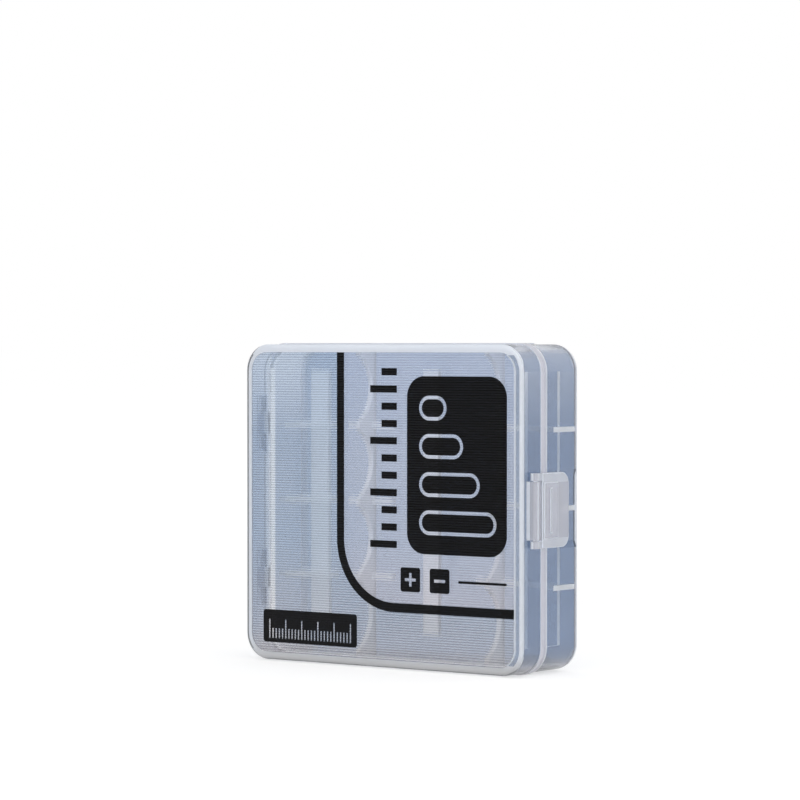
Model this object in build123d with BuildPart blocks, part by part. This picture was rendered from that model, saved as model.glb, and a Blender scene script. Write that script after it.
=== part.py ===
from build123d import *
import os

# Closed case: X runs from the hinge side to the latch side, Y from the lid to the back, Z up
case_width = 83.0
case_height = 77.0
lid_depth = 8.4
base_depth = 15.1
seam_gap = 0.1
corner_radius = 6.4
front_edge_radius = 1.0
back_edge_radius = 1.8

# Moulded walls, and the shallow recess in the lid's face
wall = 1.4
lid_panel = 1.5
base_floor = 1.5
recess_depth = 0.2
recess_border = 1.9

# Rim round both halves at the seam, and the pads that let the case stand on its long edge
rim_reach = 0.3
rim_thickness = 1.15
rim_edge_radius = 0.15
pad_length = 14.0
pad_spacing = 46.0
pad_back_margin = 0.6

# Cell bay: rows of round cells that lie along X in two cradles
cell_rows = 4
cradle_radius = 9.5
cradle_seat = 1.4
cradle_height = 6.4
cradle_thickness = 1.3
cradle_left_inset = 23.2
cradle_right_inset = 21.0
row_rib_thickness = 1.2
row_rib_length = 13.4
row_rib_height = 1.6
end_rib_length = 10.8
end_rib_height = 3.7
end_rib_wall_height = 8.0
rail_height = 1.2
centre_rail_width = 4.6
left_rail_inset = 4.3
left_rail_width = 5.5

# Locating tongue that stands out of the base into the lid
tongue_thickness = 1.1
tongue_clearance = 0.35
tongue_reach = 5.0
tongue_root = 7.6

# Pivots: plastic rod pins in moulded barrels whose axis lies outside the wall
pivot_offset = 1.75
barrel_radius = 1.45
pin_radius = 0.6
held_clearance = 0.02
running_clearance = 0.05
barrel_end_gap = 0.2
pin_end_inset = 0.2
pin_end_chamfer = 0.15

# Hinge stations on the left wall
hinge_spacing = 38.0
hinge_lid_barrel = 5.0
hinge_base_barrel = 4.2
hinge_rim_gap = 0.4

# Swing latch on the right wall
latch_height = 17.5
latch_pivot_depth = 2.75
latch_end_depth = 15.4
latch_ear = 1.75
latch_barrel_radius = 1.15
latch_plate_gap = 1.45
latch_plate_thickness = 1.1
latch_barrel_gap = 0.65
latch_corner_radius = 2.8
latch_edge_radius = 0.3
skirt_gap = 0.45
skirt_end_depth = 11.6
thumb_pad_height = 0.35
thumb_pad_length = 6.0
thumb_pad_width = 13.2
thumb_pad_edge_radius = 0.3
grip_ridge_inset = 2.3
grip_ridge_width = 0.9
grip_ridge_length = 10.6
grip_ridge_edge_radius = 0.2
hook_thickness = 1.3
hook_wall_gap = 0.35
hook_clearance = 0.15
hook_width = 11.6

# Catch behind the base's rim, and the scoop under the latch's free end
catch_rim_gap = 0.4
catch_depth = 1.7
catch_crest = 0.8
catch_reach = 1.2
catch_width = 12.0
scoop_height = 18.5
scoop_depth = 0.5
scoop_slope = 1.6
scoop_hook_gap = 0.3

# Places that follow from the sizes above
depth = lid_depth + seam_gap + base_depth
front_y = -depth / 2
back_y = depth / 2
lid_rim_y = front_y + lid_depth
base_rim_y = lid_rim_y + seam_gap
floor_y = back_y - base_floor
mid_z = rim_reach + case_height / 2
side_x = case_width / 2
inner_x = side_x - wall
inner_height = case_height - 2 * wall

row_pitch = inner_height / cell_rows
row_zs = [mid_z + (i - (cell_rows - 1) / 2) * row_pitch for i in range(cell_rows)]
rib_zs = [z + row_pitch / 2 for z in row_zs[:-1]]
cradle_xs = [cradle_left_inset - side_x, side_x - cradle_right_inset]
root_y = floor_y + base_floor / 2
straight_z0 = rim_reach + corner_radius
straight_z1 = rim_reach + case_height - corner_radius
left_rail_x = left_rail_inset - side_x
tongue_x1 = inner_x - tongue_clearance
tongue_x0 = tongue_x1 - tongue_thickness
tongue_root_y = base_rim_y + tongue_root

hinge_x = -side_x - pivot_offset
hinge_y = (lid_rim_y + base_rim_y) / 2
hinge_length = hinge_lid_barrel + 2 * (barrel_end_gap + hinge_base_barrel)
hinge_zs = {"upper": mid_z + hinge_spacing / 2, "lower": mid_z - hinge_spacing / 2}
hinge_barrel_shift = (hinge_length - hinge_base_barrel) / 2

latch_x = side_x + pivot_offset
latch_y = front_y + latch_pivot_depth
latch_end_y = front_y + latch_end_depth
latch_z0 = mid_z - latch_height / 2
latch_z1 = mid_z + latch_height / 2
latch_barrel = latch_height - 2 * (latch_ear + barrel_end_gap)
plate_x = side_x + latch_plate_gap
plate_face_x = plate_x + latch_plate_thickness
plate_y = latch_y + latch_barrel_radius + latch_barrel_gap
ridge_face_x = side_x + pivot_offset + barrel_radius
ridge_y = plate_y + grip_ridge_inset
catch_y = base_rim_y + rim_thickness + catch_rim_gap
hook_y = catch_y + catch_depth + hook_clearance
scoop_y = hook_y + hook_thickness + scoop_hook_gap
level_tolerance = 0.01


def plane_at(y):
    """Plane across the case at depth y, whose sketches extrude towards the lid."""
    return Plane.XZ.offset(-y)


def outline(grow, mode=Mode.ADD):
    """Rounded outline of the case, grown all round, in the open sketch."""
    with Locations((0, mid_z)):
        RectangleRounded(
            case_width + 2 * grow, case_height + 2 * grow, corner_radius + grow, mode=mode
        )


def span(x0, x1, y0, y1):
    """Rectangle between two corners, in the open sketch."""
    with Locations(((x0 + x1) / 2, (y0 + y1) / 2)):
        Rectangle(abs(x1 - x0), abs(y1 - y0))


def block(x0, x1, y0, y1, z0, z1, mode=Mode.ADD):
    """Straight block between two corners, in the open part."""
    with Locations(((x0 + x1) / 2, (y0 + y1) / 2, (z0 + z1) / 2)):
        Box(abs(x1 - x0), abs(y1 - y0), abs(z1 - z0), mode=mode)


def rim(shell, seam_y, thickness):
    """Raised rim from the seam face at seam_y, towards the lid where the thickness is positive."""
    with BuildSketch(plane_at(seam_y)) as ring:
        outline(rim_reach)
        outline(-wall / 2, mode=Mode.SUBTRACT)
    extrude(ring.sketch, amount=thickness)
    for y in (seam_y, seam_y - thickness):
        flat_faces = shell.faces().filter_by(Axis.Y)
        level = flat_faces.filter_by_position(Axis.Y, y - level_tolerance, y + level_tolerance)
        fillet(level.sort_by(SortBy.AREA)[-1].outer_wire().edges(), rim_edge_radius)


def clear_hinge_rim(y0, y1):
    """Cut the rim away along the hinge stations so that the barrels can turn."""
    half = hinge_length / 2 + hinge_rim_gap
    for z in hinge_zs.values():
        block(-side_x - 2 * rim_reach, -side_x, y0, y1, z - half, z + half, mode=Mode.SUBTRACT)


def barrel(axis_x, axis_y, z, length, radius, wall_x, web_y0, web_y1, bore_radius):
    """Bored barrel about an upright axis, with a web from the axis into the wall at wall_x."""
    with BuildSketch(Plane.XY.offset(z - length / 2)) as section:
        with Locations((axis_x, axis_y)):
            Circle(radius)
        span(axis_x, wall_x, web_y0, web_y1)
        with Locations((axis_x, axis_y)):
            Circle(bore_radius, mode=Mode.SUBTRACT)
    extrude(section.sketch, amount=length)


# Lid: rounded tray with a shallow recessed face, rim, middle hinge barrels and the latch's barrel
with BuildPart() as lid_shell:
    with BuildSketch(plane_at(lid_rim_y)):
        outline(0)
    extrude(amount=lid_depth)
    fillet(lid_shell.faces().sort_by(Axis.Y)[0].edges(), front_edge_radius)
    rim(lid_shell, lid_rim_y, rim_thickness)
    with BuildSketch(plane_at(lid_rim_y)):
        outline(-wall)
    extrude(amount=lid_depth - lid_panel, mode=Mode.SUBTRACT)
    with BuildSketch(plane_at(front_y)):
        outline(-recess_border)
    extrude(amount=-recess_depth, mode=Mode.SUBTRACT)
    clear_hinge_rim(lid_rim_y - rim_thickness, lid_rim_y)
    for z in hinge_zs.values():
        barrel(
            hinge_x, hinge_y, z, hinge_lid_barrel, barrel_radius, -side_x + wall / 2,
            hinge_y - barrel_radius, lid_rim_y, pin_radius + running_clearance,
        )
    barrel(
        latch_x, latch_y, mid_z, latch_barrel, latch_barrel_radius, side_x - wall / 2,
        latch_y - latch_barrel_radius, latch_y + latch_barrel_radius, pin_radius + running_clearance,
    )
lid_shell.part.label = "lid_shell"

# Base: deeper tray with the cell bay, tongue, catch, scoop, stand pads and outer hinge barrels
with BuildPart() as base_shell:
    with BuildSketch(plane_at(back_y)):
        outline(0)
    extrude(amount=base_depth)
    fillet(base_shell.faces().sort_by(Axis.Y)[-1].edges(), back_edge_radius)
    rim(base_shell, base_rim_y, -rim_thickness)
    with BuildSketch(plane_at(floor_y)):
        outline(-wall)
    extrude(amount=base_depth - base_floor, mode=Mode.SUBTRACT)

    # Cradle fins, with one hollow for each cell
    for x in cradle_xs:
        with BuildSketch(Plane.YZ.offset(x - cradle_thickness / 2)):
            span(floor_y - cradle_height, root_y, rim_reach + wall / 2,
                 rim_reach + case_height - wall / 2)
            with Locations([(floor_y - cradle_seat - cradle_radius, z) for z in row_zs]):
                Circle(cradle_radius, mode=Mode.SUBTRACT)
        extrude(amount=cradle_thickness)

    # Separator ribs between the rows: sloped ones at both ends, low ones across the cradles
    for z in rib_zs:
        with BuildSketch(Plane.XY.offset(z - row_rib_thickness / 2)):
            with BuildLine():
                Polyline(
                    (inner_x + wall / 2, root_y),
                    (inner_x + wall / 2, floor_y - end_rib_wall_height),
                    (inner_x, floor_y - end_rib_wall_height),
                    (inner_x - end_rib_length, floor_y - end_rib_height),
                    (inner_x - end_rib_length, root_y),
                    close=True,
                )
            make_face()
            mirror(about=Plane.YZ)
            for x in cradle_xs:
                span(x - row_rib_length / 2, x + row_rib_length / 2, floor_y - row_rib_height, root_y)
        extrude(amount=row_rib_thickness)

    # Low rails on the floor, under the cells' middles and left ends
    for x0, x1 in (
        (-centre_rail_width / 2, centre_rail_width / 2),
        (left_rail_x, left_rail_x + left_rail_width),
    ):
        block(x0, x1, floor_y - rail_height, root_y, straight_z0, straight_z1)

    # Locating tongue on the latch side
    block(tongue_x0, tongue_x1, base_rim_y - tongue_reach, tongue_root_y, straight_z0, straight_z1)
    block(tongue_x0, inner_x + wall / 2, base_rim_y + rim_thickness, tongue_root_y,
          straight_z0, straight_z1)

    # Catch that the latch hooks behind
    with BuildSketch(Plane.XY.offset(mid_z - catch_width / 2)):
        with BuildLine():
            Polyline(
                (side_x - wall / 2, catch_y),
                (side_x, catch_y),
                (side_x + catch_reach, catch_y + catch_depth - catch_crest),
                (side_x + catch_reach, catch_y + catch_depth),
                (side_x - wall / 2, catch_y + catch_depth),
                close=True,
            )
        make_face()
    extrude(amount=catch_width)

    # Finger scoop from behind the hook to the back edge
    with BuildSketch(plane_at(back_y)):
        with BuildLine():
            Polyline(
                (side_x, mid_z - scoop_height / 2),
                (side_x - scoop_depth, mid_z - scoop_height / 2 + scoop_slope),
                (side_x - scoop_depth, mid_z + scoop_height / 2 - scoop_slope),
                (side_x, mid_z + scoop_height / 2),
                close=True,
            )
        make_face()
    extrude(amount=back_y - scoop_y, mode=Mode.SUBTRACT)

    # Stand pads, level with the rim, on both long edges
    for x in (-pad_spacing / 2, pad_spacing / 2):
        for z0, z1 in ((0, wall), (2 * mid_z - wall, 2 * mid_z)):
            block(x - pad_length / 2, x + pad_length / 2, base_rim_y + rim_thickness / 2,
                  back_y - back_edge_radius - pad_back_margin, z0, z1)

    # Outer barrels of both hinge stations
    clear_hinge_rim(base_rim_y, base_rim_y + rim_thickness)
    for z in hinge_zs.values():
        for shift in (-hinge_barrel_shift, hinge_barrel_shift):
            barrel(
                hinge_x, hinge_y, z + shift, hinge_base_barrel, barrel_radius, -side_x + wall / 2,
                base_rim_y, hinge_y + barrel_radius, pin_radius + held_clearance,
            )
base_shell.part.label = "base_shell"

# Latch: plate with a thumb pad, grip ridge and rounded free corners, two ears with skirts, and the hook
with BuildPart() as latch:
    with BuildSketch(Plane.YZ.offset(plate_x)) as plate:
        span(plate_y, latch_end_y, latch_z0, latch_z1)
        fillet(plate.vertices().group_by(Axis.X)[-1], latch_corner_radius)
    extrude(amount=latch_plate_thickness)
    fillet(latch.faces().sort_by(Axis.X)[-1].edges(), latch_edge_radius)
    with BuildSketch(Plane.YZ.offset(plate_face_x)):
        span(plate_y + latch_edge_radius, plate_y + thumb_pad_length, mid_z - thumb_pad_width / 2,
             mid_z + thumb_pad_width / 2)
    extrude(amount=thumb_pad_height)
    fillet(latch.faces().sort_by(Axis.X)[-1].edges(), thumb_pad_edge_radius)
    block(plate_face_x, ridge_face_x, ridge_y, ridge_y + grip_ridge_width,
          mid_z - grip_ridge_length / 2, mid_z + grip_ridge_length / 2)
    fillet(latch.faces().sort_by(Axis.X)[-1].edges(), grip_ridge_edge_radius)
    for z in (latch_z0, latch_z1 - latch_ear):
        with BuildSketch(Plane.XY.offset(z)):
            with Locations((latch_x, latch_y)):
                Circle(latch_barrel_radius)
            span(side_x + rim_reach + skirt_gap, plate_face_x - latch_edge_radius, latch_y,
                 front_y + skirt_end_depth)
            with Locations((latch_x, latch_y)):
                Circle(pin_radius + held_clearance, mode=Mode.SUBTRACT)
        extrude(amount=latch_ear)
    block(side_x + hook_wall_gap, plate_x + latch_plate_thickness / 2, hook_y,
          hook_y + hook_thickness, mid_z - hook_width / 2, mid_z + hook_width / 2)
latch.part.label = "latch"

os.makedirs("parts", exist_ok=True)
export_step(lid_shell.part, "parts/lid_shell.step")
export_step(base_shell.part, "parts/base_shell.step")
export_step(latch.part, "parts/latch.step")

# Rod pins of the two hinge stations and the latch: name, axis, middle and length
pins = [
    (f"hinge_pin_{name}", hinge_x, hinge_y, z, hinge_length - 2 * pin_end_inset)
    for name, z in hinge_zs.items()
]
pins.append(("latch_pin", latch_x, latch_y, mid_z, latch_height - 2 * pin_end_inset))
for name, x, y, z, length in pins:
    with BuildPart() as pin:
        with Locations((x, y, z)):
            Cylinder(pin_radius, length)
        chamfer(pin.edges().filter_by(GeomType.CIRCLE), pin_end_chamfer)
    pin.part.label = name
    export_step(pin.part, f"parts/{name}.step")
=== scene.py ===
import math

import bmesh
import bpy
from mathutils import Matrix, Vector


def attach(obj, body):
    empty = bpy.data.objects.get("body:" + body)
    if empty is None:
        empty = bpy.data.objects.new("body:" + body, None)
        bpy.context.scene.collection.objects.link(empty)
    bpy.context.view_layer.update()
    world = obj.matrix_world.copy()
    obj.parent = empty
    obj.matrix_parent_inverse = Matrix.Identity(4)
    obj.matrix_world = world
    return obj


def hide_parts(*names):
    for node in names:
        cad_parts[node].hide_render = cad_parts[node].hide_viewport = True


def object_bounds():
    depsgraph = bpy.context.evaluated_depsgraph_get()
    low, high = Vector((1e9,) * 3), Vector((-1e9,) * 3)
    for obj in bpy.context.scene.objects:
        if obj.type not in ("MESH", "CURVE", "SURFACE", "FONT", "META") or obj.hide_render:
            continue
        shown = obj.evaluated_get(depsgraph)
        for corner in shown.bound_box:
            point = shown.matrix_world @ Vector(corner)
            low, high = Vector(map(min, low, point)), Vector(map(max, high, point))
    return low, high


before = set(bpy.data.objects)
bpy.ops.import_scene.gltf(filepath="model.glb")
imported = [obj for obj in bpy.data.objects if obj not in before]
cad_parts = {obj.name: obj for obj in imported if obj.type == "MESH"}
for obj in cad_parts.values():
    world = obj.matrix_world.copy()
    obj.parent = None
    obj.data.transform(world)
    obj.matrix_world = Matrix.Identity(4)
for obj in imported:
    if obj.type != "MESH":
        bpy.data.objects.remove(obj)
cad_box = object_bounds()

# Base shell: the deep back half of the case, with the cell cradles, ribs and rails moulded in one shot.
# Natural polypropylene, see-through with a fine frost. It turns milky at the rim, round the back edge
# and in its ribs, because more plastic lies in the way of the light there.

# Sizes as moulded, in mm
mm = 0.001
case_width = 83.0
case_height = 77.0
corner_radius = 6.4
wall = 1.4
back_wall = 1.5
lid_depth = 8.4
seam = 0.1
rim_thickness = 1.15
back_edge_radius = 1.8
row_pitch = 18.55
rib_thickness = 1.2
rib_depth = 9.5
tongue_x0, tongue_x1 = 38.6, 39.8
tongue_root = 7.6
tongue_half_height = 32.1
scoop_half_height = 11.0
scoop_end = 1.5

# Places of the mouldings, in mm
lowest, highest = (Vector(corner) / mm for corner in cad_box)
front_y, back_y = lowest.y, highest.y
middle_z = (lowest.z + highest.z) / 2
lid_rim_y = front_y + lid_depth
base_rim_y = lid_rim_y + seam
rim_end_y = base_rim_y + rim_thickness
inner_floor_y = back_y - back_wall
back_edge_y = back_y - back_edge_radius
rib_front_y = inner_floor_y - rib_depth
rib_zs = [middle_z + row * row_pitch for row in (-1, 0, 1)]
tongue_root_y = base_rim_y + tongue_root
scoop_end_y = back_y - scoop_end

# Where the finish changes: in mm, and by how far a face's normal points along an axis
near = 0.03
past_rim = 0.4
thick_edge_y = back_edge_y - 0.5
hinge_wall_x = near - case_width / 2 + wall
hinge_inner_y, hinge_outer_y = base_rim_y + 1.7, base_rim_y + 2.9
# Side wall: painted light above the first level, painted shade below the second
painted_light_from_z = 52.0
painted_shade_from_z = 9.0
# Rounded edge: painted shade below this level
edge_shade_from_z = 6.0
# Base rim: painted highlight line past these depths
rim_highlight_start_y, rim_highlight_end_y = rim_end_y - 0.5, rim_end_y - 0.4
foot_z = 3.0
facing, square_on = 0.9, 0.99
under_from, under_to = -0.999, -0.95

white = (1.0, 1.0, 1.0, 1.0)
wall_blue = (0.34, 0.43, 0.57, 1.0)
wall_grey = (0.405, 0.475, 0.60, 1.0)
side_blue = (0.365, 0.45, 0.585, 1.0)
side_grey = (0.43, 0.495, 0.615, 1.0)
# Painted light on the side wall's upper corner and painted shade at its foot
corner_painted_light = (0.80, 0.82, 0.87, 1.0)
foot_painted_shade = (0.46, 0.47, 0.51, 1.0)
clear_pale = (0.90, 0.92, 0.94, 1.0)
clear_white = (0.94, 0.95, 0.97, 1.0)
# Hinge side's rim: whiter and clearer, painted light for the bright bar it shows
hinge_lit_pale = (0.84, 0.85, 0.87, 1.0)
hinge_lit_white = (0.88, 0.89, 0.91, 1.0)
rim_pale = (0.70, 0.69, 0.765, 1.0)
rim_lilac = (0.75, 0.74, 0.81, 1.0)
edge_pale = (0.74, 0.785, 0.86, 1.0)
edge_white = (0.83, 0.865, 0.93, 1.0)
# Painted shade at the rounded edge's foot
edge_painted_shade = (0.57, 0.57, 0.58, 1.0)
thick_grey = (0.64, 0.65, 0.71, 1.0)
thick_pale = (0.70, 0.71, 0.77, 1.0)
# Painted dark outline: shade under the lower corners and a dark reflection along the left edge
outline_painted_dark = (0.2, 0.205, 0.215, 1.0)
outline_painted_grey = (0.26, 0.265, 0.275, 1.0)
rib_pale = (0.80, 0.83, 0.88, 1.0)
rib_white = (0.86, 0.89, 0.93, 1.0)
milk_pale = (0.90, 0.92, 0.95, 1.0)
milk_white = (0.95, 0.96, 0.98, 1.0)


def put(tree, kind, feeds=None, **settings):
    """Add a node, set it up, and feed its inputs from values or from other nodes' outputs."""
    node = tree.nodes.new(kind)
    for name, value in settings.items():
        setattr(node, name, value)
    for name, value in (feeds or {}).items():
        if isinstance(value, bpy.types.NodeSocket):
            tree.links.new(value, node.inputs[name])
        else:
            node.inputs[name].default_value = value
    return node


def calc(tree, operation, *terms):
    """Result of one Math node on the given terms."""
    return put(tree, "ShaderNodeMath", dict(enumerate(terms)), operation=operation).outputs[0]


def mix(tree, share, first, second):
    """Colour between two colours."""
    return put(tree, "ShaderNodeMix", {0: share, 6: first, 7: second}, data_type="RGBA").outputs[2]


def effect(name, inputs, outputs, kind="ShaderNodeTree"):
    """Start a node group. Returns it with the sockets that its inputs give and its outputs take."""
    group = bpy.data.node_groups.new(name, kind)
    for socket_name, (socket_kind, default) in inputs.items():
        socket = group.interface.new_socket(
            socket_name, in_out="INPUT", socket_type="NodeSocket" + socket_kind
        )
        if default is not None:
            socket.default_value = default
    for socket_name, socket_kind in outputs.items():
        group.interface.new_socket(socket_name, in_out="OUTPUT", socket_type="NodeSocket" + socket_kind)
    return group, group.nodes.new("NodeGroupInput").outputs, group.nodes.new("NodeGroupOutput").inputs


# Frost of the moulding tool: fine pits, and slow clouds where the melt cooled unevenly
frost, given, wanted = effect(
    "frost",
    {"Place": ("Vector", None), "Pit Size": ("Float", 0.3), "Cloud Size": ("Float", 16.0)},
    {"Pits": "Float", "Clouds": "Float"},
)
for name, size in (("Pits", given["Pit Size"]), ("Clouds", given["Cloud Size"])):
    feeds = {"Vector": given["Place"], "Scale": calc(frost, "DIVIDE", 1.0, size), "Detail": 2.0}
    frost.links.new(put(frost, "ShaderNodeTexNoise", feeds).outputs["Fac"], wanted[name])

plastic_ior = 1.49
pit_depth = 0.02 * mm
roughness_spread = 0.15


def frosted(name, first, second, haze, roughness, pits):
    """Frosted see-through plastic between two tints. Returns it, its colour and its place in mm."""
    material = bpy.data.materials.new(name)
    material.use_nodes = True
    tree = material.node_tree
    shader = tree.nodes["Principled BSDF"]
    shader.inputs["Transmission Weight"].default_value = 1.0 - haze
    shader.inputs["IOR"].default_value = plastic_ior
    here = put(tree, "ShaderNodeTexCoord").outputs["Object"]
    place = put(tree, "ShaderNodeVectorMath", {0: here, "Scale": 1 / mm}, operation="SCALE").outputs[0]
    skin = put(tree, "ShaderNodeGroup", {"Place": place}, node_tree=frost).outputs
    bump_feeds = {"Height": skin["Pits"], "Strength": pits, "Distance": pit_depth}
    tree.links.new(put(tree, "ShaderNodeBump", bump_feeds).outputs["Normal"], shader.inputs["Normal"])
    rough_feeds = {
        "Value": skin["Clouds"],
        "To Min": (1 - roughness_spread) * roughness,
        "To Max": (1 + roughness_spread) * roughness,
    }
    uneven = put(tree, "ShaderNodeMapRange", rough_feeds).outputs["Result"]
    tree.links.new(uneven, shader.inputs["Roughness"])
    colour = mix(tree, skin["Clouds"], first, second)
    tree.links.new(colour, shader.inputs["Base Color"])
    through = put(tree, "ShaderNodeBsdfTransparent", {"Color": white}).outputs[0]
    from_lamp = put(tree, "ShaderNodeLightPath").outputs["Is Shadow Ray"]
    lit = put(tree, "ShaderNodeMixShader", {0: from_lamp, 1: shader.outputs[0], 2: through}).outputs[0]
    tree.links.new(lit, tree.nodes["Material Output"].inputs["Surface"])
    return material, colour, place


# Level fade: a colour that turns into another one between two levels
level_fade, given, wanted = effect(
    "level_fade",
    {
        "Level": ("Float", 0.0),
        "Start": ("Float", 0.0),
        "End": ("Float", 1.0),
        "Share": ("Float", 1.0),
        "Colour": ("Color", None),
        "End Colour": ("Color", None),
    },
    {"Faded": "Color"},
)
tree = level_fade
feeds = {
    "Value": given["Level"], "From Min": given["Start"], "From Max": given["End"], "To Max": given["Share"]
}
amount = put(tree, "ShaderNodeMapRange", feeds, interpolation_type="SMOOTHSTEP").outputs["Result"]
tree.links.new(mix(tree, amount, given["Colour"], given["End Colour"]), wanted["Faded"])


def fade(finish, axis, start, end, end_colour, share=1.0):
    """Let a finish turn towards another colour between two levels in mm. Returns the finish."""
    material, colour, place = finish
    tree = material.node_tree
    feeds = {
        "Level": put(tree, "ShaderNodeSeparateXYZ", {"Vector": place}).outputs[axis],
        "Start": start,
        "End": end,
        "Share": share,
        "Colour": colour,
        "End Colour": end_colour,
    }
    faded = put(tree, "ShaderNodeGroup", feeds, node_tree=level_fade).outputs["Faded"]
    tree.links.new(faded, tree.nodes["Principled BSDF"].inputs["Base Color"])
    return material, faded, place


def beyond_outline(spot):
    """Distance from the case's rounded outline, below zero inside it."""
    across = abs(spot.x) - case_width / 2 + corner_radius
    along = abs(spot.z - middle_z) - case_height / 2 + corner_radius
    return math.hypot(max(across, 0), max(along, 0)) + min(max(across, along), 0) - corner_radius


def merged_copy(node, name):
    """Copy of a moulded solid with its triangles joined."""
    mesh = bpy.data.meshes.new(name)
    joined = bmesh.new()
    joined.from_mesh(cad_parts[node].data)
    bmesh.ops.remove_doubles(joined, verts=joined.verts, dist=near * mm / 10)
    joined.to_mesh(mesh)
    joined.free()
    return mesh


def split_faces(mesh, axis, levels):
    """Split a mesh's faces across an axis at levels in mm, where the finish changes."""
    on_plane = 1e-7
    whole = bmesh.new()
    whole.from_mesh(mesh)
    across = Vector((axis == "X", axis == "Y", axis == "Z"))
    for level in levels:
        everything = [*whole.verts, *whole.edges, *whole.faces]
        bmesh.ops.bisect_plane(
            whole, geom=everything, dist=on_plane, plane_co=across * level * mm, plane_no=across
        )
    whole.to_mesh(mesh)
    whole.free()


def moulding(mesh, name, finishes, choose, body, node):
    """Piece that stands for a moulded solid, with a finish chosen for each face."""
    level_facing = 0.9999
    level_crease, round_crease = math.radians(0.2), math.radians(35)
    mesh.materials.clear()
    for finish in finishes:
        mesh.materials.append(finish)
    for face in mesh.polygons:
        face.material_index = finishes.index(choose(face.center / mm, face.normal))
    mesh.shade_smooth()
    creased = bmesh.new()
    creased.from_mesh(mesh)
    for edge in creased.edges:
        by_level = any(max(abs(part) for part in face.normal) > level_facing for face in edge.link_faces)
        edge.smooth = edge.calc_face_angle(0.0) < (level_crease if by_level else round_crease)
    creased.to_mesh(mesh)
    creased.free()
    piece = bpy.data.objects.new(name, mesh)
    bpy.context.collection.objects.link(piece)
    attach(piece, body)
    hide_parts(node)
    return piece


# Side wall: painted light towards its upper corner and painted shade towards its foot
side_finish = frosted("case_side", side_blue, side_grey, haze=0.1, roughness=0.08, pits=0.02)
side_finish = fade(side_finish, "Z", painted_light_from_z, highest.z, corner_painted_light, share=0.8)
case_side = fade(side_finish, "Z", painted_shade_from_z, lowest.z, foot_painted_shade)[0]

# Rim: a little grey, with a painted highlight line along the back of the base's half
rim_finish = frosted("case_rim", rim_pale, rim_lilac, haze=0.6, roughness=0.3, pits=0.05)
case_rim = fade(rim_finish, "Y", rim_highlight_start_y, rim_highlight_end_y, milk_white)[0]

# Rounded edge: milky, with painted shade towards the foot
edge_finish = frosted("case_edge", edge_pale, edge_white, haze=0.75, roughness=0.5, pits=0.1)
case_edge = fade(edge_finish, "Z", edge_shade_from_z, lowest.z, edge_painted_shade)[0]

# Plain finishes: inner walls, clear and thick places, a whiter hinge rim as painted light, a painted dark
# outline of shade and reflection, ribs and milky lines
case_wall = frosted("case_wall", wall_blue, wall_grey, haze=0.1, roughness=0.08, pits=0.02)[0]
case_clear = frosted("case_clear", clear_pale, clear_white, haze=0.03, roughness=0.05, pits=0.0)[0]
hinge_rim = frosted("hinge_rim", hinge_lit_pale, hinge_lit_white, haze=0.05, roughness=0.08, pits=0.0)[0]
case_thick = frosted("case_thick", thick_grey, thick_pale, haze=0.4, roughness=0.2, pits=0.1)[0]
case_painted_outline = frosted("case_painted_outline", outline_painted_dark, outline_painted_grey, haze=0.4, roughness=0.3, pits=0.05)[0]
case_rib = frosted("case_rib", rib_pale, rib_white, haze=0.55, roughness=0.3, pits=0.05)[0]
case_milk = frosted("case_milk", milk_pale, milk_white, haze=0.95, roughness=0.4, pits=0.05)[0]


def curves_under(spot, normal):
    """Whether a face lies where the case's lower corners curve under, where a painted shade line goes."""
    return spot.z < foot_z and beyond_outline(spot) > -near and under_from < normal.z < under_to


def base_finish(spot, normal):
    """Finish of the base's face at a spot: milky edges and rim, pale ribs, clear walls, painted light on
    the hinge rim and a painted shade line under the foot.
    """
    beyond = beyond_outline(spot)
    behind_rim = spot.y > rim_end_y + near
    # Painted shade line where the lower corners curve under
    if curves_under(spot, normal):
        return case_painted_outline
    # Hinge side: whiter, clearer rim as painted light
    if spot.x < hinge_wall_x and beyond < past_rim:
        if spot.y < (hinge_inner_y if beyond < -near else hinge_outer_y):
            return hinge_rim
    if beyond > past_rim and spot.x < 0:
        return case_clear
    if beyond > near:
        return case_edge if behind_rim else case_rim
    in_tongue = abs(spot.z - middle_z) < tongue_half_height + near and spot.y < tongue_root_y + near
    if in_tongue and tongue_x0 < spot.x < tongue_x1:
        if abs(normal.x) < facing:
            return case_milk
        return case_wall if behind_rim else case_clear
    if spot.y < base_rim_y + near:
        return case_edge
    if abs(beyond + wall) < near and not behind_rim:
        return case_milk
    beside_scoop = abs(spot.z - middle_z) < scoop_half_height and spot.x > 0
    in_scoop = beside_scoop and -wall < beyond < -near and spot.y < scoop_end_y
    on_back_edge = beyond > -back_edge_radius and spot.y > back_edge_y + near and normal.y < square_on
    if on_back_edge and not in_scoop:
        return case_edge
    if beyond > -near and spot.y > thick_edge_y:
        return case_thick
    if beyond < -wall - near and spot.y < inner_floor_y - near:
        return case_rib
    on_rib = any(abs(spot.z - z) < rib_thickness / 2 for z in rib_zs)
    if on_rib and spot.y > rib_front_y and beyond > -wall / 2 and abs(normal.x) > facing:
        return case_rib
    return case_side if beyond > -wall - near else case_wall


base_mesh = merged_copy("base_shell", "base_frosted")
base_levels = [rim_end_y, hinge_inner_y, hinge_outer_y, rib_front_y, thick_edge_y, scoop_end_y]
split_faces(base_mesh, "Y", base_levels)
split_faces(base_mesh, "Z", [z + side * rib_thickness / 2 for z in rib_zs for side in (-1, 1)])
base_finishes = [
    case_wall, case_side, case_clear, case_rim, case_edge, case_thick, case_rib, case_milk, hinge_rim,
    case_painted_outline,
]
base_frosted = moulding(base_mesh, "base_frosted", base_finishes, base_finish, "base", "base_shell")

# Hinge pins: two short rods of natural plastic, cut from extruded stock.
# They are pressed through the base's barrels, and the lid's barrels turn on them.

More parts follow.
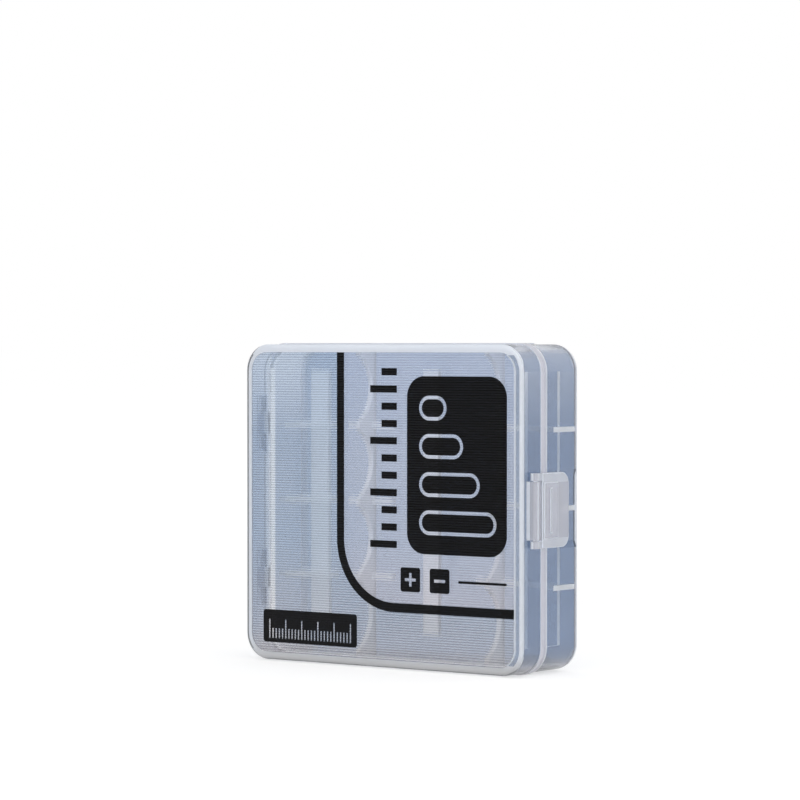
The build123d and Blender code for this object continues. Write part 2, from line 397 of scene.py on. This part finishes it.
pin_grey = (0.82, 0.84, 0.88, 1.0)
pin_white = (0.90, 0.91, 0.93, 1.0)
pin_plastic = frosted("pin_plastic", pin_grey, pin_white, haze=0.4, roughness=0.3, pits=0.1)[0]


def finish_pin(node):
    """Give a pin the finish of extruded rod."""
    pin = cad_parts[node].data
    pin.materials.clear()
    pin.materials.append(pin_plastic)


finish_pin("hinge_pin_upper")
finish_pin("hinge_pin_lower")

# Lid shell: the shallow front half, moulded in the same natural polypropylene, with a finely ribbed face
# sunk inside a plain border. Its print is black ink, screened on the ribs.

# Sizes as moulded, in mm
front_edge_radius = 1.0
recess_border = 1.9
recess_depth = 0.2
rib_pitch = 0.6
rib_height = 0.012
rib_margin = 0.6
face_y = front_y + recess_depth
face_half_width = case_width / 2 - recess_border
face_half_height = case_height / 2 - recess_border
face_corner = corner_radius - recess_border
ribbed_half_height = face_half_height - rib_margin

# Where the finish changes: in mm, and by how far a face's normal points along an axis
hinge_lip_y = lid_rim_y - 0.5
lid_rim_start_y = lid_rim_y - rim_thickness
latch_web_x = case_width / 2 + 0.95
bare_face_y = face_y - 0.0006
# Painted highlight on the latch barrel, by its normal
glint_from, glint_to = 0.83, 0.985
groove_turn = 0.94
side_turn, corner_turn = -0.02, -0.3
under_turn = -0.7

border_grey = (0.50, 0.53, 0.60, 1.0)
border_pale = (0.56, 0.59, 0.66, 1.0)
face_blue = (0.74, 0.84, 0.94, 1.0)
face_grey = (0.81, 0.87, 0.94, 1.0)
ink_black = (0.0001, 0.0001, 0.00013, 1.0)
ink_gloss = (0.15, 0.15, 0.15, 1.0)
pale_ink = (0.87, 0.87, 0.925, 1.0)
# Painted shade on the rib crests
crest_painted_shade = (0.25, 0.29, 0.35, 1.0)
crest_painted_pale = (0.57, 0.575, 0.635, 1.0)
crest_shade_share = 0.75
# Painted light: tints towards the lid's top and bottom
top_painted_light = (1.0, 1.05, 1.12, 1.0)
bottom_painted_light = (1.18, 1.0, 0.88, 1.0)
tint_start, tint_end = 8.0, 36.0

# Ribbing: a sheet with one wave a rib, as long at each height as the recess is wide there
ribbing, given, wanted = effect(
    "lid_ribbing",
    {
        "Shell": ("Geometry", None),
        "Pitch": ("Float", rib_pitch * mm),
        "Rib Height": ("Float", rib_height * mm),
        "Rib Foot": ("Float", 0.6),
        "Steps A Rib": ("Float", 8.0),
        "End Gap": ("Float", 0.15 * mm),
        "Side Gap": ("Float", rib_margin * mm),
        "Root": ("Float", 0.3 * mm),
        "Weld": ("Float", 0.001 * mm),
        "Half Width": ("Float", 1.0),
        "Half Height": ("Float", 1.0),
        "Corner Radius": ("Float", 1.0),
        "Face Y": ("Float", 0.0),
        "Centre Z": ("Float", 0.0),
        "Finish": ("Material", None),
    },
    {"Ribbed Shell": "Geometry"},
    kind="GeometryNodeTree",
)
tree = ribbing
half_span = calc(tree, "SUBTRACT", given["Half Height"], given["End Gap"])
half_ribs = calc(tree, "FLOOR", calc(tree, "DIVIDE", half_span, given["Pitch"]))
ribs = calc(tree, "MULTIPLY", half_ribs, 2.0)
grid_feeds = {
    "Size X": 2.0,
    "Size Y": calc(tree, "MULTIPLY", ribs, given["Pitch"]),
    "Vertices X": 2,
    "Vertices Y": calc(tree, "ADD", calc(tree, "MULTIPLY", ribs, given["Steps A Rib"]), 1.0),
}
grid = put(tree, "GeometryNodeMeshGrid", grid_feeds).outputs["Mesh"]
at = put(tree, "ShaderNodeSeparateXYZ", {0: put(tree, "GeometryNodeInputPosition").outputs[0]}).outputs
straight = calc(tree, "SUBTRACT", given["Half Height"], given["Corner Radius"])
into_corner = calc(tree, "MAXIMUM", calc(tree, "SUBTRACT", calc(tree, "ABSOLUTE", at["Y"]), straight), 0.0)
radius_squared = calc(tree, "POWER", given["Corner Radius"], 2.0)
chord_squared = calc(tree, "SUBTRACT", radius_squared, calc(tree, "POWER", into_corner, 2.0))
corner_width = calc(tree, "SUBTRACT", given["Half Width"], given["Corner Radius"])
half_length = calc(tree, "ADD", corner_width, calc(tree, "SQRT", chord_squared))
reach = calc(tree, "SUBTRACT", half_length, given["Side Gap"])
turns = calc(tree, "MULTIPLY", calc(tree, "DIVIDE", at["Y"], given["Pitch"]), 2 * math.pi)
half_wave = calc(tree, "MULTIPLY", calc(tree, "COSINE", turns), 0.5)
wave = calc(tree, "ADD", half_wave, given["Rib Foot"])
place_feeds = {
    "X": calc(tree, "MULTIPLY", at["X"], reach),
    "Y": calc(tree, "SUBTRACT", given["Face Y"], calc(tree, "MULTIPLY", wave, given["Rib Height"])),
    "Z": calc(tree, "ADD", at["Y"], given["Centre Z"]),
}
place = put(tree, "ShaderNodeCombineXYZ", place_feeds).outputs[0]
sheet = put(tree, "GeometryNodeSetPosition", {"Geometry": grid, "Position": place}).outputs[0]
back_level = calc(tree, "ADD", given["Face Y"], given["Root"])
back_place = put(tree, "ShaderNodeCombineXYZ", {"X": at["X"], "Y": back_level, "Z": at["Z"]}).outputs[0]
extrude_feeds = {"Mesh": sheet, "Offset Scale": 0.0, "Individual": False}
extruded = put(tree, "GeometryNodeExtrudeMesh", extrude_feeds).outputs
back_feeds = {"Geometry": extruded["Mesh"], "Selection": extruded["Top"], "Position": back_place}
set_back = put(tree, "GeometryNodeSetPosition", back_feeds).outputs[0]
front_sheet = put(tree, "GeometryNodeFlipFaces", {"Mesh": sheet}).outputs[0]
both = put(tree, "GeometryNodeJoinGeometry")
tree.links.new(set_back, both.inputs[0])
tree.links.new(front_sheet, both.inputs[0])
weld_feeds = {"Geometry": both.outputs[0], "Distance": given["Weld"]}
plate = put(tree, "GeometryNodeMergeByDistance", weld_feeds).outputs[0]
fused = put(tree, "GeometryNodeMeshBoolean", operation="UNION", solver="EXACT")
tree.links.new(given["Shell"], fused.inputs["Mesh 2"])
tree.links.new(plate, fused.inputs["Mesh 2"])
solid = put(tree, "GeometryNodeRealizeInstances", {"Geometry": fused.outputs["Mesh"]}).outputs[0]
finished = put(tree, "GeometryNodeSetMaterial", {"Geometry": solid, "Material": given["Finish"]}).outputs[0]
tree.links.new(finished, wanted["Ribbed Shell"])

# Outline shape: a rounded block, and the line along its outline
outline_shape, given, wanted = effect(
    "outline_shape",
    {
        "Place": ("Vector", None),
        "Centre": ("Vector", (0.0, 0.0, 0.0)),
        "Half Size": ("Vector", (1.0, 0.0, 1.0)),
        "Corner Radius": ("Float", 0.5),
        "Line Width": ("Float", 0.7),
        "Edge": ("Float", 0.03),
    },
    {"Block": "Float", "Line": "Float"},
)
tree = outline_shape
offset_feeds = {0: given["Place"], 1: given["Centre"]}
offset = put(tree, "ShaderNodeVectorMath", offset_feeds, operation="SUBTRACT").outputs[0]
offset = put(tree, "ShaderNodeVectorMath", {0: offset}, operation="ABSOLUTE").outputs[0]
over_feeds = {0: offset, 1: given["Half Size"]}
over = put(tree, "ShaderNodeVectorMath", over_feeds, operation="SUBTRACT").outputs[0]
over = put(tree, "ShaderNodeSeparateXYZ", {"Vector": over}).outputs
overs = [calc(tree, "ADD", over[axis], given["Corner Radius"]) for axis in ("X", "Z")]
squares = [calc(tree, "POWER", calc(tree, "MAXIMUM", value, 0.0), 2.0) for value in overs]
outer = calc(tree, "SQRT", calc(tree, "ADD", *squares))
inner = calc(tree, "MINIMUM", calc(tree, "MAXIMUM", *overs), 0.0)
distance = calc(tree, "SUBTRACT", calc(tree, "ADD", outer, inner), given["Corner Radius"])
half_line = calc(tree, "DIVIDE", given["Line Width"], 2.0)
from_line = calc(tree, "SUBTRACT", calc(tree, "ABSOLUTE", distance), half_line)
inside_edge = calc(tree, "MULTIPLY", given["Edge"], -1.0)
for name, value in (("Block", distance), ("Line", from_line)):
    feeds = {"Value": value, "From Min": given["Edge"], "From Max": inside_edge}
    tree.links.new(put(tree, "ShaderNodeMapRange", feeds).outputs["Result"], wanted[name])

# Ink scale: upright ticks from a foot line, with every few of them longer
ink_scale, given, wanted = effect(
    "ink_scale",
    {
        "Place": ("Vector", None),
        "Start X": ("Float", 0.0),
        "Foot Z": ("Float", 0.0),
        "Pitch": ("Float", 1.0),
        "Count": ("Float", 20.0),
        "Tick Width": ("Float", 0.35),
        "Short": ("Float", 2.0),
        "Long": ("Float", 4.0),
        "Long Every": ("Float", 5.0),
    },
    {"Ticks": "Float"},
)
tree = ink_scale
at = put(tree, "ShaderNodeSeparateXYZ", {"Vector": given["Place"]}).outputs
steps = calc(tree, "DIVIDE", calc(tree, "SUBTRACT", at["X"], given["Start X"]), given["Pitch"])
tick = calc(tree, "ROUND", steps)
aside = calc(tree, "MULTIPLY", calc(tree, "ABSOLUTE", calc(tree, "SUBTRACT", steps, tick)), given["Pitch"])
on_tick = calc(tree, "LESS_THAN", aside, calc(tree, "DIVIDE", given["Tick Width"], 2.0))
past_start = calc(tree, "GREATER_THAN", tick, -0.5)
before_end = calc(tree, "LESS_THAN", tick, calc(tree, "SUBTRACT", given["Count"], 0.5))
is_long = calc(tree, "LESS_THAN", calc(tree, "FLOORED_MODULO", tick, given["Long Every"]), 0.5)
longer = calc(tree, "MULTIPLY", is_long, calc(tree, "SUBTRACT", given["Long"], given["Short"]))
rise = calc(tree, "SUBTRACT", at["Z"], given["Foot Z"])
in_height = calc(tree, "LESS_THAN", rise, calc(tree, "ADD", longer, given["Short"]))
above_foot = calc(tree, "GREATER_THAN", rise, 0.0)
shown = on_tick
for other in (past_start, before_end, in_height, above_foot):
    shown = calc(tree, "MULTIPLY", shown, other)
tree.links.new(shown, wanted["Ticks"])

case_border = frosted("case_border", border_grey, border_pale, haze=0.15, roughness=0.15, pits=0.05)[0]
lid_face, colour, place = frosted("lid_face", face_blue, face_grey, haze=0.2, roughness=0.05, pits=0.0)
tree = lid_face.node_tree
to_middle = {"Vector": place, "Location": (0.0, 0.0, -middle_z)}
print_place = put(tree, "ShaderNodeMapping", to_middle).outputs[0]


def inked(centre, half_size, corner, line_width=0.0):
    """Masks of a rounded block of ink and of the line along its outline."""
    feeds = {
        "Place": print_place,
        "Centre": (centre[0], 0.0, centre[1]),
        "Half Size": (half_size[0], 0.0, half_size[1]),
        "Corner Radius": corner,
        "Line Width": line_width,
    }
    return put(tree, "ShaderNodeGroup", feeds, node_tree=outline_shape).outputs


def together(masks):
    """Mask of several ink shapes at once."""
    total = masks[0]
    for other in masks[1:]:
        total = calc(tree, "MAXIMUM", total, other)
    return total


def without(block, cut):
    """Mask of a block with another mask left bare in it."""
    return calc(tree, "MULTIPLY", block, calc(tree, "SUBTRACT", 1.0, cut))


# Swept line: its inside is pale, the rest of the face clear
sweep = inked((38.0, 36.0), (50.0, 60.0), corner=16.0, line_width=2.2)

# Panel of four bars, each longer than the one above it
bar_left, bar_top, bar_pitch = 12.0, 23.5, 9.0
bar_half_height, bar_line = 2.5, 0.8
bars = []
for row, bar_half_length in enumerate((3.6, 6.0, 8.4, 10.8)):
    centre = (bar_left + bar_half_length, bar_top - bar_pitch * row)
    bars.append(inked(centre, (bar_half_length, bar_half_height), bar_half_height, bar_line)["Line"])
panel = without(inked((22.5, 10.0), (14.5, 21.0), corner=5.0)["Block"], together(bars))

# Plus key, minus key and a thin line beside them
key_z, plus_x, minus_x = -17.2, 9.0, 17.6
key_half_size, key_corner = (2.9, 2.9), 0.6
stroke_across, stroke_up, stroke_corner = (1.6, 0.35), (0.35, 1.6), 0.1
keys = []
for key_x, strokes in ((plus_x, (stroke_across, stroke_up)), (minus_x, (stroke_across,))):
    sign = together([inked((key_x, key_z), stroke, stroke_corner)["Block"] for stroke in strokes])
    keys.append(without(inked((key_x, key_z), key_half_size, key_corner)["Block"], sign))
thin_line = inked((30.0, key_z), (7.0, 0.3), corner=0.3)["Block"]

# Column of dashes, and a ruled block with bare ticks
quarter_turn = {"Vector": print_place, "Rotation": (0.0, math.pi / 2, 0.0)}
dash_feeds = {
    "Place": put(tree, "ShaderNodeMapping", quarter_turn).outputs[0],
    "Start X": -9.0,
    "Foot Z": -5.0,
    "Pitch": 4.1,
    "Count": 11.0,
    "Tick Width": 1.7,
    "Short": 4.6,
    "Long": 8.0,
    "Long Every": 3.0,
}
dashes = put(tree, "ShaderNodeGroup", dash_feeds, node_tree=ink_scale).outputs["Ticks"]
tick_feeds = {
    "Place": print_place,
    "Start X": -34.0,
    "Foot Z": -33.2,
    "Count": 26.0,
    "Short": 2.4,
    "Long": 4.6,
}
ticks = put(tree, "ShaderNodeGroup", tick_feeds, node_tree=ink_scale).outputs["Ticks"]
ruled_block = without(inked((-21.5, -30.2), (14.5, 4.0), corner=0.8)["Block"], ticks)
ink = together([sweep["Line"], panel, *keys, thin_line, dashes, ruled_block])

# Face under the ink: painted shade on each rib's crest for the ribs' shading, and painted light tinting it
# bluer towards its top and warmer towards its bottom
rise = put(tree, "ShaderNodeSeparateXYZ", {"Vector": print_place}).outputs["Z"]
phase = calc(tree, "MULTIPLY", rise, 2 * math.pi / rib_pitch)
crest = calc(tree, "ADD", calc(tree, "MULTIPLY", calc(tree, "COSINE", phase), 0.5), 0.5)
crest_shade_colour = mix(tree, sweep["Block"], crest_painted_shade, crest_painted_pale)
colour = mix(tree, sweep["Block"], colour, pale_ink)
colour = mix(tree, calc(tree, "MULTIPLY", crest, crest_shade_share), colour, crest_shade_colour)
# Painted light: bluer towards the top, warmer towards the bottom
tint = white
for side, end_tint in ((1, top_painted_light), (-1, bottom_painted_light)):
    share_feeds = {"Value": rise, "From Min": side * tint_start, "From Max": side * tint_end}
    tint = mix(tree, put(tree, "ShaderNodeMapRange", share_feeds).outputs["Result"], tint, end_tint)
tint_feeds = {0: 1.0, 6: colour, 7: tint}
tint_settings = {"data_type": "RGBA", "blend_type": "MULTIPLY", "clamp_result": True}
colour = put(tree, "ShaderNodeMix", tint_feeds, **tint_settings).outputs[2]
shader = tree.nodes["Principled BSDF"]
tree.links.new(mix(tree, ink, colour, ink_black), shader.inputs["Base Color"])
shader.inputs["Specular Tint"].default_value = ink_gloss


def lid_finish(spot, normal):
    """Finish of the lid's face at a spot: printed face, milky edges and rim, clear walls, and painted light
    and shade: a whiter hinge rim, a latch glint, a darker right border with a white margin, a dark left
    edge and a dark line under the foot.
    """
    beyond = beyond_outline(spot)
    in_rim = spot.y > lid_rim_start_y - near
    on_hinge_wall = spot.x < hinge_wall_x
    # Painted shade line where the lower corners curve under
    if curves_under(spot, normal):
        return case_painted_outline
    # Hinge side: whiter, clearer rim as painted light
    if on_hinge_wall and spot.y > hinge_lip_y and beyond < past_rim:
        return hinge_rim
    if on_hinge_wall and beyond > near and in_rim:
        return case_clear if beyond > past_rim else case_border
    if near < beyond < past_rim and in_rim:
        return case_edge if normal.y < -facing else case_rim
    if beyond > near:
        # The web and a glint strip on the latch barrel take the milky edge finish; the glint is a painted
        # highlight
        on_web = spot.x < latch_web_x and normal.y < -facing
        in_glint = glint_from < normal.x < glint_to and normal.y < 0
        return case_edge if on_web or in_glint else case_thick
    if spot.y > lid_rim_y - near:
        return case_edge
    between_corners = abs(spot.x) < case_width / 2 - corner_radius
    if abs(beyond + wall) < near and in_rim and between_corners:
        return case_milk
    beside_ribs = abs(spot.z - middle_z) < ribbed_half_height
    # On the right the bare margin beside the ribs takes the rib finish as a painted highlight
    if spot.y < face_y + near and beyond < -recess_border - near:
        bare = beside_ribs and spot.x > 0 and spot.y > bare_face_y
        return case_rib if bare else lid_face
    if spot.y < front_y + front_edge_radius and beyond > -recess_border - near:
        # On the right the border is darker: painted shade
        if beside_ribs and spot.x > 0 and (normal.y < -square_on or normal.x > groove_turn):
            return case_border
        # Painted dark reflection along the left edge and painted shade under the foot
        left_turn = side_turn if beside_ribs else corner_turn
        on_left = spot.x < corner_radius - case_width / 2 and normal.x < left_turn
        return case_painted_outline if on_left or normal.z < under_turn else case_edge
    return case_side if beyond > -wall - near else case_clear


lid_maker = bpy.data.objects.new("lid_maker", merged_copy("lid_shell", "lid_merged"))
bpy.context.collection.objects.link(lid_maker)
modifier = lid_maker.modifiers.new("ribbing", "NODES")
modifier.node_group = ribbing
ribbing_sizes = {
    "Half Width": face_half_width * mm,
    "Half Height": face_half_height * mm,
    "Corner Radius": face_corner * mm,
    "Face Y": face_y * mm,
    "Centre Z": middle_z * mm,
    "Finish": lid_face,
}
for socket in ribbing.interface.items_tree:
    if socket.in_out == "INPUT" and socket.name in ribbing_sizes:
        modifier[socket.identifier] = ribbing_sizes[socket.name]
graph = bpy.context.evaluated_depsgraph_get()
ribbed_mesh = bpy.data.meshes.new_from_object(lid_maker.evaluated_get(graph), depsgraph=graph)
bpy.data.objects.remove(lid_maker)
split_faces(ribbed_mesh, "X", [latch_web_x])
split_faces(ribbed_mesh, "Y", [lid_rim_start_y, hinge_lip_y])
split_faces(ribbed_mesh, "Z", [middle_z - ribbed_half_height, middle_z + ribbed_half_height])
lid_finishes = [
    lid_face, case_clear, case_side, case_rim, case_edge, case_border, case_thick, case_milk, case_rib,
    hinge_rim, case_painted_outline,
]
lid_ribbed = moulding(ribbed_mesh, "lid_ribbed", lid_finishes, lid_finish, "lid", "lid_shell")

# Latch: a small swing latch, moulded thicker than the walls in the same plastic, so it looks whiter.
# Its ears clip round a plastic pin through the lid's barrel, and its hook snaps over the base's catch.

latch_plate_y = front_y + 4.4
latch_pivot_y = front_y + 2.75
latch_end_half = 6.5
latch_rounding = 0.97
ear_turn = 0.1
latch_grey = (0.66, 0.67, 0.73, 1.0)
latch_pale = (0.72, 0.73, 0.79, 1.0)
latch_end_grey = (0.72, 0.75, 0.81, 1.0)
latch_end_pale = (0.78, 0.81, 0.87, 1.0)
latch_plastic = frosted("latch_plastic", latch_grey, latch_pale, haze=0.4, roughness=0.2, pits=0.1)[0]
latch_end = frosted("latch_end", latch_end_grey, latch_end_pale, haze=0.5, roughness=0.25, pits=0.1)[0]


def latch_finish(spot, normal):
    """Finish of the latch's face at a spot: milky where its edges are rounded, and paler at its ends."""
    rounded = max(abs(part) for part in normal) < latch_rounding and spot.y > latch_plate_y
    turned_in = normal.x < ear_turn and normal.y < -ear_turn and spot.y < latch_pivot_y
    if rounded or turned_in:
        return case_edge
    at_end = abs(spot.z - middle_z) > latch_end_half and normal.x > facing
    return latch_end if at_end else latch_plastic


latch_mesh = merged_copy("latch", "latch_frosted")
split_faces(latch_mesh, "Z", [middle_z - latch_end_half, middle_z + latch_end_half])
latch_finishes = [latch_plastic, latch_end, case_edge]
latch_frosted = moulding(latch_mesh, "latch_frosted", latch_finishes, latch_finish, "latch", "latch")
finish_pin("latch_pin")

# Studio: a white floor that keeps the case's soft shadow, broad lamps and a long lens.
# The camera stands level with the case's top, turned to show the lid and the latch side.

floor_size = 40.0
paper_grey = (0.8, 0.8, 0.8, 1.0)
glow_start, glow_end = 0.2, 1.0
near_glow, far_glow = 0.28, 0.52
bpy.ops.mesh.primitive_plane_add(size=floor_size)
floor = bpy.context.object
floor.name = "floor"
paper = bpy.data.materials.new("paper")
paper.use_nodes = True
tree = paper.node_tree
shader = tree.nodes["Principled BSDF"]
shader.inputs["Base Color"].default_value = paper_grey
shader.inputs["Roughness"].default_value = 0.9
shader.inputs["Specular IOR Level"].default_value = 0.0
shader.inputs["Emission Color"].default_value = white
path = put(tree, "ShaderNodeLightPath").outputs
seen = calc(tree, "MAXIMUM", path["Is Camera Ray"], path["Is Transmission Ray"])
seen = calc(tree, "MAXIMUM", seen, path["Is Glossy Ray"])
here = put(tree, "ShaderNodeTexCoord").outputs["Object"]
away = put(tree, "ShaderNodeVectorMath", {0: here}, operation="LENGTH").outputs["Value"]
glow_feeds = {
    "Value": away, "From Min": glow_start, "From Max": glow_end, "To Min": near_glow, "To Max": far_glow
}
glow = put(tree, "ShaderNodeMapRange", glow_feeds).outputs["Result"]
tree.links.new(calc(tree, "MULTIPLY", seen, glow), shader.inputs["Emission Strength"])
floor.data.materials.append(paper)

room_light, backdrop_light = 0.6, 1.0
world = bpy.data.worlds.new("studio")
bpy.context.scene.world = world
world.use_nodes = True
tree = world.node_tree
path = put(tree, "ShaderNodeLightPath").outputs
seen = calc(tree, "MAXIMUM", path["Is Camera Ray"], path["Is Transmission Ray"])
strength_feeds = {"Value": seen, "To Min": room_light, "To Max": backdrop_light}
strength = put(tree, "ShaderNodeMapRange", strength_feeds).outputs["Result"]
tree.links.new(strength, tree.nodes["Background"].inputs["Strength"])
tree.nodes["Background"].inputs["Color"].default_value = white


def softbox(name, place, size, power):
    """Square lamp at a place, turned to the middle of the case."""
    case_middle = Vector((0.0, 0.0, middle_z * mm))
    lamp = bpy.data.lights.new(name, "AREA")
    lamp.energy = power
    lamp.size = size
    holder = bpy.data.objects.new(name, lamp)
    holder.location = place
    holder.rotation_euler = (Vector(place) - case_middle).to_track_quat("Z", "Y").to_euler()
    bpy.context.collection.objects.link(holder)


softbox("top_lamp", (0.2, -0.2, 1.1), size=0.9, power=3.6)
softbox("front_lamp", (-0.6, -0.9, 0.5), size=0.7, power=2.0)
softbox("side_lamp", (0.9, -0.5, 0.5), size=0.7, power=3.0)

camera_turn = math.radians(37.18)
camera_pitch = math.radians(-0.96)
camera_place = (0.4815, -0.6386, 0.0773)
focal_pixels = 3322
image_pixels = 800
lens = bpy.data.cameras.new("camera")
lens.sensor_width = 36.0
lens.lens = focal_pixels * lens.sensor_width / image_pixels
lens.clip_end = 60.0
camera = bpy.data.objects.new("camera", lens)
camera.location = camera_place
camera.rotation_euler = (math.pi / 2 + camera_pitch, 0.0, camera_turn)
bpy.context.collection.objects.link(camera)
bpy.context.scene.camera = camera
bpy.context.scene.view_settings.view_transform = "Standard"
